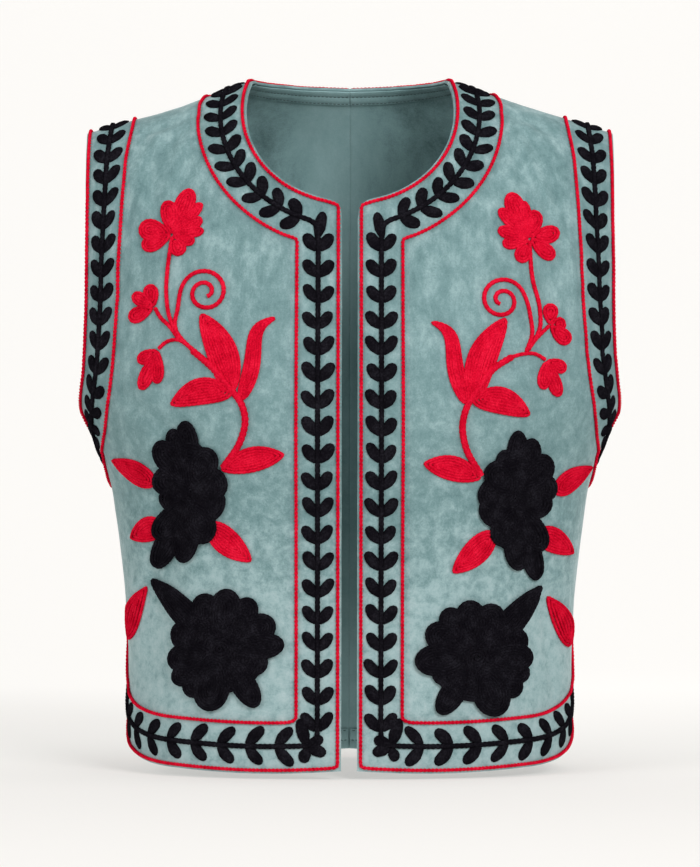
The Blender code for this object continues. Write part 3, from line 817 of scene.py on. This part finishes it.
def along(line, closed=False):
    """Points on the cloth, with the distance run so far, and the directions ahead and aside."""
    points, normals = settle(line)
    if closed:
        ahead = np.roll(points, -1, 0) - np.roll(points, 1, 0)
    else:
        ahead = np.gradient(points, axis=0)
    ahead /= np.linalg.norm(ahead, axis=1, keepdims=True)
    run = np.r_[0, np.cumsum(np.linalg.norm(np.diff(points, axis=0), axis=1))]
    return points, run, ahead, np.cross(normals, ahead)


def twisted(line, side, closed=False):
    """The two strands of a cord."""
    line = softened(line, CORNER_ROUND, closed)
    ring = np.vstack([line, line[:1]]) if closed else line
    length = np.linalg.norm(np.diff(ring, axis=0), axis=1).sum()
    line = spaced(ring, round(length / CORD_STEP) + 1)
    if closed:
        line = line[:-1]
    points, run, _, aside = along(line, closed)
    turns = max(1, round(length / TWIST_PITCH))
    angle = run / length * turns * 2 * math.pi
    strands = []
    for start in (0, math.pi):
        out = aside * (TWIST_OUT * np.sin(angle + start))[:, None]
        lift = CORD_LIFT + TWIST_OUT * np.cos(angle + start)
        strands.append((on_cloth(points + out, side, lift), 1, closed))
    return strands


def wool(name, dark, plain, light, sheen):
    """Matt wool yarn, with its fibres as a fine grain."""
    made, tree, shader = finish_of(
        name, 0.9, sheen=sheen, sheen_roughness=0.5, sheen_tint=light, specular=0.0
    )
    place = node(tree, "ShaderNodeTexCoord").outputs["Object"]
    fibres = node(tree, "ShaderNodeTexNoise")
    fibres.inputs["Scale"].default_value = 900.0
    fibres.inputs["Detail"].default_value = 3.0
    tree.links.new(place, fibres.inputs["Vector"])
    dye = node(tree, "ShaderNodeTexNoise")
    dye.inputs["Scale"].default_value = 120.0
    tree.links.new(place, dye.inputs["Vector"])
    dyed = sum_of(tree, "MULTIPLY", dye.outputs["Fac"], 0.4)
    mix = sum_of(tree, "MULTIPLY_ADD", fibres.outputs["Fac"], 0.6, dyed)
    ramp(tree, mix, [(0.34, dark), (0.5, plain), (0.68, light)], shader.inputs["Base Color"])
    bump(tree, fibres.outputs["Fac"], 0.0004, 0.8, shader)
    return made


red_wool = wool("red_wool", (0.40, 0.002, 0.013), (0.60, 0.004, 0.025), (0.76, 0.014, 0.048), 0.03)

for side_word, side in SIDES.items():
    for word, (neck_in, edge_in, hem_in, scye_in) in CORD_ROWS.items():
        for place, line, closed in (
            ("front", np.vstack(front_runs(neck_in, edge_in, hem_in)), False),
            ("back", back_border(hem_in), False),
            ("armhole", armhole_border(scye_in), True),
        ):
            cad_name = f"{place}_cord_{word}_{side_word}"
            cord = wool_curve(f"{cad_name}_wool", twisted(line, side, closed), STRAND, red_wool)
            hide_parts(cad_name)

# ---------------------------------------------------------------- black vine
# A running vine of black wool in the band between the cords: a chain-stitched stem with
# pairs of plump leaves, pointing up the fronts, round the neck and up both armholes, and
# along the hem towards the front edge. The thread runs on from leaf to stem.

VINE_ROW = (18.6, 16.5, 19.0, 17.8)    # stem, from the cloth's edge as for the cords
STEM_RADIUS = 1.9
STEM_LIFT = 0.7
STITCH = 3.4           # length of one chain stitch
LEAF_LONG = 15.4
LEAF_WIDE = 9.4
HEM_LEAF = 17.0        # the leaves along the hem are longer
LEAF_HIGH = 2.0
LEAF_SPREAD = 37.0     # degrees off the stem
VINE_CORNER = 16.0

black_wool = wool(
    "black_wool", (0.0035, 0.003, 0.0045), (0.0065, 0.0058, 0.008), (0.017, 0.016, 0.021), 0.015
)


def stitched_thickness(run):
    """A chain stitch is fuller in the middle than where it is pulled through."""
    return 0.84 + 0.2 * np.abs(np.sin(math.pi * run / STITCH))


def leaf_pads(name, leaves, side, finish):
    """Plump leaves lying on the cloth, each from a ball drawn out along the leaf."""
    bm = bmesh.new()
    verts, points, lifts = [], [], []
    for base, ahead, aside, long, wide in leaves:
        made = bmesh.ops.create_uvsphere(bm, u_segments=10, v_segments=7, radius=1)
        verts += made["verts"]
        for vert in made["verts"]:
            x, up, z = vert.co
            t = (z + 1) / 2
            out = x * wide / 2 * (0.80 + 0.28 * t) * (1 + 0.06 * math.sin(11 * t + 3 * x))
            points.append(base + ahead * long * t + aside * out)
            lifts.append(0.25 + LEAF_HIGH * up * (0.8 + 0.3 * t) if up > 0 else 0.25 + 0.5 * up)
    places = on_cloth(np.array(points), side, np.array(lifts))
    for vert, spot in zip(verts, places):
        vert.co = spot
    bmesh.ops.recalc_face_normals(bm, faces=bm.faces)
    mesh = bpy.data.meshes.new(name)
    bm.to_mesh(mesh)
    bm.free()
    mesh.shade_smooth()
    mesh.materials.append(finish)
    return placed(name, bpy.data.objects.new(name, mesh))


def leaf_pairs(line, start, stop, every, rng, spread=LEAF_SPREAD, long=LEAF_LONG):
    """Leaves in pairs along a vine, from start to stop (from its end) along the line."""
    points, run, ahead, aside = along(line)
    room = run[-1] - start - stop
    count = max(1, round(room / every))
    leaves = []
    for k in range(count + 1):
        at = start + room * k / count
        spot = np.array([np.interp(at, run, points[:, axis]) for axis in range(3)])
        near = np.searchsorted(run, at).clip(0, len(run) - 1)
        for hand in (1, -1):
            leaves.append(vine_leaf(spot, ahead[near], hand * aside[near], rng, spread, long))
    return leaves


def vine_leaf(spot, ahead, aside, rng, spread=LEAF_SPREAD, long=LEAF_LONG):
    angle = math.radians(spread + rng.uniform(-4, 4))
    out = math.cos(angle) * ahead + math.sin(angle) * aside
    across = math.cos(angle) * aside - math.sin(angle) * ahead
    return (
        spot - 0.5 * ahead + 0.8 * aside,
        out,
        across,
        long * rng.uniform(0.94, 1.06),
        LEAF_WIDE * rng.uniform(0.93, 1.07),
    )


def stem(line, side, radius_share=1.0):
    length = np.linalg.norm(np.diff(line, axis=0), axis=1).sum()
    line = spaced(line, round(length / 0.9) + 1)
    run = np.linspace(0, length, len(line))
    return on_cloth(line, side, STEM_LIFT), radius_share * stitched_thickness(run), False


def vine(name, side, lines, leaves):
    runs = [stem(line, side) for line in lines]
    stems = wool_curve(f"{name}_stem", runs, STEM_RADIUS, black_wool)
    pads = leaf_pads(f"{name}_leaves", leaves, side, black_wool)


for side_word, side in SIDES.items():
    rng = np.random.default_rng(11 + side)
    neck, upper, edge, lower, hem = front_runs(*VINE_ROW[:3])
    whole = softened(np.vstack([neck, upper, edge, lower, hem])[::-1], VINE_CORNER)
    hem_run = softened(np.vstack([lower, hem])[::-1], 3)
    edge_run = softened(np.vstack([upper, edge, lower])[::-1], 3)
    neck_run = softened(np.vstack([neck, upper])[::-1], 3)
    leaves = leaf_pairs(hem_run, 8, 29, 20.7, rng, 44, HEM_LEAF)
    leaves += leaf_pairs(edge_run, 9, 20, 19.0, rng)
    leaves += leaf_pairs(neck_run, 14, 14, 15.6, rng, 44)
    up, across = np.array([0, 0, 1.0]), np.array([1.0, 0, 0])
    corner, top = lower[0] + (6.5, 0, -3.5), upper[0]
    for base, ahead, spread, long in (
        (corner, -across, -18, 14.0),
        (corner, -across, 30, 13.0),
        (corner + 1.5 * up, up, 14, 20.0),
        (corner, -up, 20, 10.5),
        (top - 12 * up, up, -12, 21.0),
    ):
        aside = across if abs(ahead[2]) else up
        leaves.append(vine_leaf(base, ahead, aside, rng, spread, long))
    vine(f"front_vine_{side_word}", side, [whole], leaves)

    hem_back = softened(back_border(VINE_ROW[2]), 3)
    vine(f"back_vine_{side_word}", side, [hem_back], leaf_pairs(hem_back, 8, 16, 20.7, rng, 44, HEM_LEAF))

    around = softened(armhole_border(VINE_ROW[3]), 3, closed=True)
    high = int(np.argmax(around[:, 2]))
    halves = [around[:high + 1], around[high:][::-1]]
    leaves = []
    for half in halves:
        leaves += leaf_pairs(half, 8, 15, 17.1, rng, 36)
    vine(f"armhole_vine_{side_word}", side, halves, leaves)

# ---------------------------------------------------------------- red flowers, buds and leaves
# Free-hand motifs on each front in red wool: rows of chain stitch follow the outline of
# every petal and leaf and fill it to the middle. Stems are one or two rows.

ROW = 1.95             # rows of stitches lie this far apart
ROW_RADIUS = 1.28
ROW_LIFT = 0.75


def front_points(flat):
    """Places on a front, from distances across and heights."""
    flat = np.asarray(flat, float)
    y = -depth(flat[..., 0], flat[..., 1], False)
    return np.stack([flat[..., 0], y, flat[..., 1]], -1)


def petal_rows(base, tip, wide, near=0.5, far=0.5, bend=0.0, hook=1.0):
    """Rows filling a petal, given in distances across and heights; its ends are round at
    0.5 and sharper above."""
    base, tip = np.array(base, float), np.array(tip, float)
    run = tip - base
    long = np.linalg.norm(run)
    ahead = run / long
    aside = np.array([-ahead[1], ahead[0]])
    turn = np.linspace(0, 2 * math.pi, 73)[:-1]
    u = (1 - np.cos(turn)) / 2
    half = np.sign(np.sin(turn)) * u**near * (1 - u) ** far
    half /= np.abs(half).max()
    rows = []
    inset = ROW / 2
    while inset < wide / 2:
        short, shy = [min(inset * (1 + 1.6 * (end - 0.5)), long * 0.42) for end in (near, far)]
        t = short + u * (long - short - shy)
        curved = bend * np.sin(math.pi * (t / long) ** hook)
        loop = base + t[:, None] * ahead + (half * (wide / 2 - inset) + curved)[:, None] * aside
        rows.append((loop, True))
        inset += ROW
    spare = wide / 2 - inset + ROW
    if spare > ROW * 0.35:
        if long > wide:
            t = np.linspace(wide * 0.45, long - wide * 0.45, 12)
        else:
            t = np.array([long * 0.45, long * 0.55])
        curved = bend * np.sin(math.pi * (t / long) ** hook)
        rows.append((base + t[:, None] * ahead + curved[:, None] * aside, False))
    return rows


def laid(rows, side, lift=ROW_LIFT, step=1.15):
    """Rows of stitches laid on the cloth, ready for a curve."""
    lines, thick = [], []
    for flat, closed in rows:
        line = front_points(flat)
        if closed:
            line = np.vstack([line, line[:1]])
        length = np.linalg.norm(np.diff(line, axis=0), axis=1).sum()
        count = max(3, round(length / step)) + 1
        line = spaced(line, count)
        run = np.linspace(0, length, count)
        lines.append(line[:-1] if closed else line)
        thick.append(stitched_thickness(run[:-1] if closed else run))
    places = on_cloth(np.vstack(lines), side, lift)
    places = np.split(places, np.cumsum([len(line) for line in lines])[:-1])
    return [(spots, radii, closed) for spots, radii, (_, closed) in zip(places, thick, rows)]


def smooth_line(points, step=1.5):
    """A smooth line through a few points."""
    points = np.array(points, float)
    run = np.r_[0, np.cumsum(np.linalg.norm(np.diff(points, axis=0), axis=1))]
    slope = np.gradient(points, run, axis=0)
    at = np.linspace(0, run[-1], max(4, round(run[-1] / step)))
    k = np.clip(np.searchsorted(run, at) - 1, 0, len(run) - 2)
    span = (run[k + 1] - run[k])[:, None]
    t = (at - run[k])[:, None] / span
    ends = (2 * t**3 - 3 * t**2 + 1) * points[k] + (3 * t**2 - 2 * t**3) * points[k + 1]
    return ends + span * ((t**3 - 2 * t**2 + t) * slope[k] + (t**3 - t**2) * slope[k + 1])


def curl(centre, start_radius, start_turn, end_turn, shrink):
    """A stem's end rolled into a spiral."""
    turn = np.radians(np.linspace(start_turn, end_turn, 60))
    radius = start_radius * (1 - (np.degrees(turn) - start_turn) / shrink)
    return np.array(centre) + radius[:, None] * np.stack([np.cos(turn), np.sin(turn)], -1)


# cad node, side, base, [(petal tip across, height, width)]
RED_FLOWERS = [
    ("red_flower_top_left", -1, (124.5, 373), [
        (111.5, 405.5, 15), (127.5, 397, 13), (147.8, 378.5, 16), (145.5, 364.5, 13), (117.5, 358.5, 12),
        (103.5, 395, 9), (103.3, 384, 10), (102, 375.5, 8), (108.5, 367.5, 9)]),
    ("red_flower_small_left", -1, (136, 321.5), [(140.5, 338, 11.5), (152.5, 331.5, 10), (155, 314.5, 12)]),
    ("red_flower_bud_left", -1, (132.5, 292), [(147, 284, 10), (144, 264.5, 11), (132.5, 268.5, 10)]),
    ("red_flower_top_right", 1, (125.5, 370), [
        (111.5, 402.5, 15), (121.5, 397, 9), (130.8, 390.5, 13), (146.5, 375.5, 13), (143.3, 357, 12),
        (118, 353.5, 12), (106.5, 366, 10), (103.3, 376.5, 10), (104.2, 391, 10)]),
    ("red_flower_small_right", 1, (138.3, 309), [(140, 324.5, 11.5), (150, 311, 10), (152.8, 297.5, 12)]),
    ("red_flower_bud_right", 1, (134.6, 284.5), [(149.8, 278.5, 10), (144.6, 260, 11), (132.4, 264.5, 10)]),
]

for cad_name, side, base, petals in RED_FLOWERS:
    runs = []
    for k, (x, h, wide) in enumerate(petals):
        rows = petal_rows(base, (x, h), 0.95 * wide, near=0.95)
        runs += laid(rows, side, ROW_LIFT + 0.12 * (k % 3))
    piece = wool_curve(f"{cad_name}_wool", runs, ROW_RADIUS, red_wool)
    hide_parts(cad_name)

HOOK = 2.6             # the tall leaves bend only near the tip

# cad node, side, base, tip, width, how sharp at the base and at the tip, bend
RED_LEAVES = [
    ("tulip_leaf_upright_left", -1, (80, 261), (103, 317), 21, 0.6, 0.75, 4),
    ("tulip_leaf_tall_left", -1, (74, 257), (50.5, 314), 11.5, 0.4, 0.6, -8.5),
    ("tulip_leaf_level_left", -1, (79, 261.5), (123, 254), 18, 0.65, 0.8, 5),
    ("leaf_inner_upper_left", -1, (88, 209), (44, 219.5), 17, 0.85, 0.85, -2),
    ("leaf_side_upper_left", -1, (133.5, 199), (168, 216), 16, 0.55, 0.95, 1),
    ("leaf_side_lower_left", -1, (131, 171.5), (154, 160), 17, 0.5, 0.85, 0),
    ("leaf_inner_lower_left", -1, (98, 172), (67.5, 145), 18.5, 0.6, 0.85, 1),
    ("leaf_hem_side_left", -1, (142, 127), (155.5, 87), 13, 0.95, 0.7, 3),
    ("tulip_leaf_upright_right", 1, (83.5, 256), (108, 314), 20, 0.6, 0.75, 5),
    ("tulip_leaf_tall_right", 1, (79.5, 254.5), (55.5, 311), 11.5, 0.4, 0.6, -8.5),
    ("tulip_leaf_level_right", 1, (82, 257), (123.5, 247), 18, 0.65, 0.8, 4.5),
    ("leaf_inner_upper_right", 1, (90, 203), (50, 213.5), 17, 0.85, 0.85, -2),
    ("leaf_side_upper_right", 1, (140.5, 193), (172, 211), 16, 0.55, 0.95, 1),
    ("leaf_side_lower_right", 1, (131.5, 166), (157.5, 149), 17, 0.5, 0.85, 0),
    ("leaf_inner_lower_right", 1, (100, 166), (71, 137), 18, 0.6, 0.85, 1),
    ("leaf_hem_side_right", 1, (139, 120), (154.5, 82), 14, 0.95, 0.7, 3),
]

for cad_name, side, base, tip, wide, near, far, bend in RED_LEAVES:
    runs = laid(petal_rows(base, tip, wide, near, far, bend, HOOK if "tall" in cad_name else 1.0), side)
    piece = wool_curve(f"{cad_name}_wool", runs, ROW_RADIUS, red_wool)
    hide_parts(cad_name)

# side, thickness, points across and height
STEMS = [
    (-1, 1.0, [
        (124.5, 371), (127.3, 348), (127.8, 331), (124, 312), (119, 303), (106, 289.6), (93, 277.7), (82, 264.5)
    ]),
    (-1, 0.9, [(135.6, 321.5), (131, 314), (125.5, 309), (117.7, 298.7)]),
    (-1, 0.9, [(132, 292.6), (126, 297.5), (119.8, 298.8), (107.8, 292)]),
    (-1, 1.5, [(108, 291), (93, 278), (82, 265), (74, 255), (71, 244), (74.5, 228), (86, 211)]),
    (1, 1.0, [(125.5, 368), (127.2, 342.4), (132, 319.9), (131.5, 307), (123, 292)]),
    (1, 0.9, [(138.3, 309), (129, 300), (121, 290)]),
    (1, 0.9, [(134.6, 285), (127, 289), (118, 288.5), (109.8, 286)]),
    (1, 1.5, [(111, 286.5), (98.5, 278.4), (88, 266), (79, 251), (76.5, 240), (79, 224), (89.5, 205.5)]),
]
CURLS = [
    (-1, [(117.5, 299), (121, 309), (119.5, 320)], (100.5, 332), 16.5, 25, 600, 720),
    (1, [(121.5, 290.5), (126, 303), (125.5, 313)], (105.5, 326.5), 16.0, 20, 600, 720),
]
for side_word, side in SIDES.items():
    runs = []
    for which, thick, points in STEMS:
        if which == side:
            for places, radii, closed in laid([(smooth_line(points), False)], side, ROW_LIFT - 0.1):
                runs.append((places, radii * thick, closed))
    for which, lead, centre, radius, start, end, shrink in CURLS:
        if which == side:
            line = np.vstack([lead, curl(centre, radius, start, end, shrink)])
            runs += laid([(smooth_line(line), False)], side, ROW_LIFT - 0.1)
    piece = wool_curve(f"red_stems_{side_word}", runs, 1.65, red_wool)

# ---------------------------------------------------------------- black flowers
# Two large full-blown roses of black wool on each front, petals in rows of chain stitch
# that overlap towards the middle; the upper ones are caught in the darts.

LEAF_LIKE = 19         # petals of this width end in a point

# cad node, side, heart of the flower, [(petal tip across, height, width)]
BLACK_FLOWERS = [
    ("black_flower_upper_left", -1, (109, 193), [
        (112, 243, 17), (122, 237.5, 14), (131, 229, 18), (134, 206, 22), (131, 184, 20), (135, 160, 18),
        (137, 139.5, 17), (117, 144, 20), (99, 158, 22), (87, 180, 24), (84, 204, 22), (94, 224, 20),
        (122, 156, 22)]),
    ("black_flower_lower_left", -1, (89, 84), [
        (140.5, 132, 19), (103, 122, 22), (84, 126, 22), (67, 119, 20), (52, 104, 22), (45, 88, 18),
        (57, 72, 20),
        (63.5, 44.5, 17), (99, 41, 25), (113, 51, 20), (123, 60, 18), (127, 74, 20), (125, 96, 22)]),
    ("black_flower_upper_right", 1, (114, 188), [
        (114, 236.5, 15), (125, 231, 17), (136, 219, 20), (141, 201, 22), (139, 183, 20), (135, 152, 18),
        (133, 131, 16), (118, 138.5, 20), (103, 156, 20), (90, 176, 22), (88, 195, 22), (95, 214, 20),
        (104, 223, 16), (124, 152, 22)]),
    ("black_flower_lower_right", 1, (88, 78), [
        (137, 127, 19), (101, 115, 22), (82, 118, 22), (66, 112, 20), (54, 99, 22), (45.5, 76, 22),
        (58, 64, 20),
        (62, 39.5, 17), (104, 37.5, 25), (119, 52, 20), (125, 64, 18), (128, 77, 20), (124, 92, 22)]),
]

HEART = {"upper": (19, 36), "lower": (32, 30)}

for cad_name, side, heart, petals in BLACK_FLOWERS:
    heart = np.array(heart, float)
    wide, tall = HEART[cad_name.split("_")[2]]
    coil = np.linspace(0.015, 1, 900)
    turn = coil * 2 * math.pi * tall / (ROW * 1.1)
    coil = coil[:, None] * np.stack([wide * np.cos(turn), tall * np.sin(turn)], -1)
    runs = laid([(heart + coil, False)], side, ROW_LIFT + 1.1, step=1.5)
    for k, (x, h, wide) in enumerate(petals):
        base = heart + 0.12 * (np.array([x, h]) - heart)
        rows = petal_rows(base, (x, h), wide, near=0.7, far=0.9 if wide == LEAF_LIKE else 0.5)
        runs += laid(rows, side, ROW_LIFT + 0.8 + 0.3 * (k % 3), step=1.5)
    piece = wool_curve(f"{cad_name}_wool", runs, ROW_RADIUS * 1.15, black_wool)
    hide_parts(cad_name)

# ---------------------------------------------------------------- studio
# A pale floor that sweeps up behind, soft light from the front and above.

CAMERA_DISTANCE = 2.85
CAMERA_HEIGHT = 0.234
FOCAL_LENGTH = 164.4

SWEEP_FRONT = -3.2
SWEEP_BEND = 1.2       # the floor turns up from here, with this radius
SWEEP_TOP = 5.0
SWEEP_SIDE = 5
FLOOR_DROP = 0.004     # the floor lies just under the hem

hem_level = cad_box[0][2]
bm = bmesh.new()
profile = [(SWEEP_FRONT, 0), (SWEEP_BEND, 0)]
for turn in np.linspace(0, math.pi / 2, 13)[1:]:
    profile.append((SWEEP_BEND + SWEEP_BEND * math.sin(turn), SWEEP_BEND * (1 - math.cos(turn))))
profile.append((2 * SWEEP_BEND, SWEEP_TOP))
verts = []
for y, z in profile:
    verts.append(bm.verts.new((-SWEEP_SIDE, y, hem_level - FLOOR_DROP + z)))
    if len(verts) > 1:
        bm.edges.new(verts[-2:])
made = bmesh.ops.extrude_edge_only(bm, edges=bm.edges[:])
moved = [item for item in made["geom"] if isinstance(item, bmesh.types.BMVert)]
bmesh.ops.translate(bm, verts=moved, vec=(2 * SWEEP_SIDE, 0, 0))
bmesh.ops.recalc_face_normals(bm, faces=bm.faces)
bm.faces.ensure_lookup_table()
lowest = min(bm.faces, key=lambda face: face.calc_center_median().z)
lowest.normal_update()
if lowest.normal.z < 0:
    bmesh.ops.reverse_faces(bm, faces=bm.faces)
mesh = bpy.data.meshes.new("studio_sweep")
bm.to_mesh(mesh)
bm.free()
mesh.shade_smooth()
paper, tree, shader = finish_of("studio_paper", 0.9, specular=0.0)
shader.inputs["Base Color"].default_value = 0.414, 0.407, 0.396, 1
shader.inputs["Emission Strength"].default_value = 1.0
split = node(tree, "ShaderNodeSeparateXYZ")
tree.links.new(node(tree, "ShaderNodeTexCoord").outputs["Object"], split.inputs[0])
away = node(tree, "ShaderNodeMapRange", clamp=True)
away.inputs["From Min"].default_value = -0.1
away.inputs["From Max"].default_value = 0.9
tree.links.new(split.outputs["Y"], away.inputs["Value"])
glow = [(0.0, (0.48, 0.470, 0.455)), (1.0, (0.665, 0.655, 0.638))]
ramp(tree, away.outputs[0], glow, shader.inputs["Emission Color"])
# the paper is seen from its lit side only, so that the garment shows from behind too
seen = sum_of(tree, "SUBTRACT", 1.0, node(tree, "ShaderNodeNewGeometry").outputs["Backfacing"])
tree.links.new(seen, shader.inputs["Alpha"])
mesh.materials.append(paper)
sweep = bpy.data.objects.new("studio_sweep", mesh)
bpy.context.scene.collection.objects.link(sweep)

world = bpy.data.worlds.new("studio")
world.use_nodes = True
world.node_tree.nodes["Background"].inputs["Color"].default_value = 1.0, 0.99, 0.975, 1
world.node_tree.nodes["Background"].inputs["Strength"].default_value = 0.18
bpy.context.scene.world = world
bpy.context.scene.view_settings.view_transform = "Standard"


def soft_light(name, place, target, size, power):
    light = bpy.data.lights.new(name, "AREA")
    light.shape = "RECTANGLE"
    light.size, light.size_y = size
    light.energy = power
    made = bpy.data.objects.new(name, light)
    made.location = place
    made.rotation_euler = (Vector(target) - Vector(place)).to_track_quat("-Z", "Y").to_euler()
    bpy.context.scene.collection.objects.link(made)


middle = (0, 0, -0.22)
soft_light("key", (1.25, -2.3, 1.0), middle, (1.4, 1.1), 55)
soft_light("fill", (-1.9, -1.6, 0.7), middle, (1.2, 1.2), 24)
soft_light("top", (0.2, -0.2, 1.9), middle, (1.4, 1.0), 15)

camera = bpy.data.objects.new("camera", bpy.data.cameras.new("camera"))
camera.data.lens = FOCAL_LENGTH
camera.location = 0, -CAMERA_DISTANCE, CAMERA_HEIGHT - ORIGIN_HEIGHT * MM
camera.rotation_euler = math.pi / 2, 0, 0
bpy.context.scene.collection.objects.link(camera)
bpy.context.scene.camera = camera
